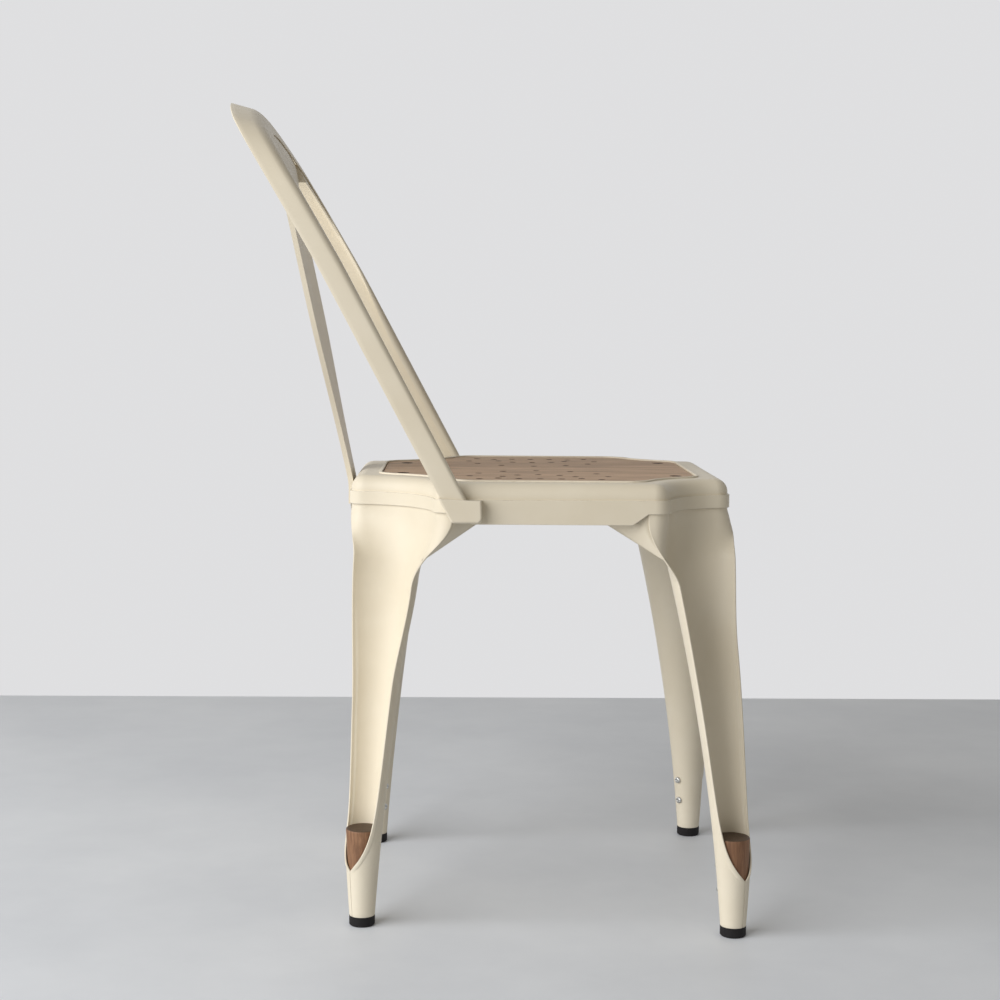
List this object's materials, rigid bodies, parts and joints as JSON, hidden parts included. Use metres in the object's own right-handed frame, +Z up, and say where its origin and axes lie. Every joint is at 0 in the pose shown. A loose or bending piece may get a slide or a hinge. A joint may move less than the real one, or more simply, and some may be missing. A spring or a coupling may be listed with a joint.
{
  "type": "stacking dining chair",
  "caption": "Stacking dining chair of pressed steel with open tapered legs, wooden leg plugs, a hoop back with a centre splat and a perforated plywood seat insert",
  "frame": {"origin": "on the floor, under the middle of the chair's outer box", "axes": "+X is the front of the chair, +Y is the sitter's left and the axis that the chair is mirrored along, +Z is up"},
  "size_m": [0.517, 0.4114, 0.8126],
  "materials": {
    "cream_paint": "ivory powder coat on pressed steel, satin",
    "oak_ply": "oiled oak veneer plywood",
    "plug_wood": "oiled hardwood",
    "black_rubber": "moulded matte rubber",
    "screw_steel": "zinc plated",
    "dark_steel": "blackened"
  },
  "bodies": {
    "root": {"seat_pan": "cream_paint", "seat_panel": "oak_ply", "seat_panel_bolts": "dark_steel", "seat_panel_nuts": "screw_steel", "leg_front_right": "cream_paint", "leg_front_left": "cream_paint", "leg_rear_right": "cream_paint", "leg_rear_left": "cream_paint", "plug_front_right": "plug_wood", "plug_front_left": "plug_wood", "plug_rear_right": "plug_wood", "plug_rear_left": "plug_wood", "foot_front_right": "black_rubber", "foot_front_left": "black_rubber", "foot_rear_right": "black_rubber", "foot_rear_left": "black_rubber", "foot_screws": "screw_steel", "plug_screws_front_right": "screw_steel", "plug_screws_front_left": "screw_steel", "plug_screws_rear_right": "screw_steel", "plug_screws_rear_left": "screw_steel", "corner_gusset_front_right": "cream_paint", "corner_gusset_front_left": "cream_paint", "corner_gusset_rear_right": "cream_paint", "corner_gusset_rear_left": "cream_paint", "back_hoop": "cream_paint", "back_splat": "cream_paint", "back_socket_right": "cream_paint", "back_socket_left": "cream_paint", "back_bolts": "screw_steel", "back_nuts": "screw_steel", "splat_rivets": "cream_paint"}
  },
  "joints": []
}
